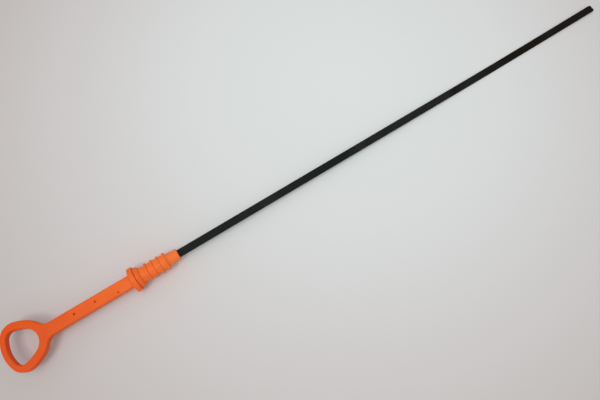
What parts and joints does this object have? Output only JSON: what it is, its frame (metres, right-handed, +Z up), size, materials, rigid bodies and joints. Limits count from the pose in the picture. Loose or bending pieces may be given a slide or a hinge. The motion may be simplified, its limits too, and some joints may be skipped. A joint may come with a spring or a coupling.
{
  "type": "engine oil dipstick",
  "caption": "Engine oil dipstick: orange moulded pull handle with finger loop, stop collar and finned sealing plug, holding a long flat black steel blade.",
  "frame": {"origin": "middle of the box under the dipstick as it lies on a table: z = 0 is the table", "axes": "+X along the dipstick from the finger loop to the blade's tip, +Y across the flat of the blade, +Z up"},
  "size_m": [0.557, 0.0374, 0.0195],
  "materials": {
    "handle": "orange moulded nylon, satin from the mould",
    "blade": "black finished spring steel strip, satin and thinly oiled"
  },
  "bodies": {
    "root": {"handle": "handle", "blade": "blade"}
  },
  "joints": []
}
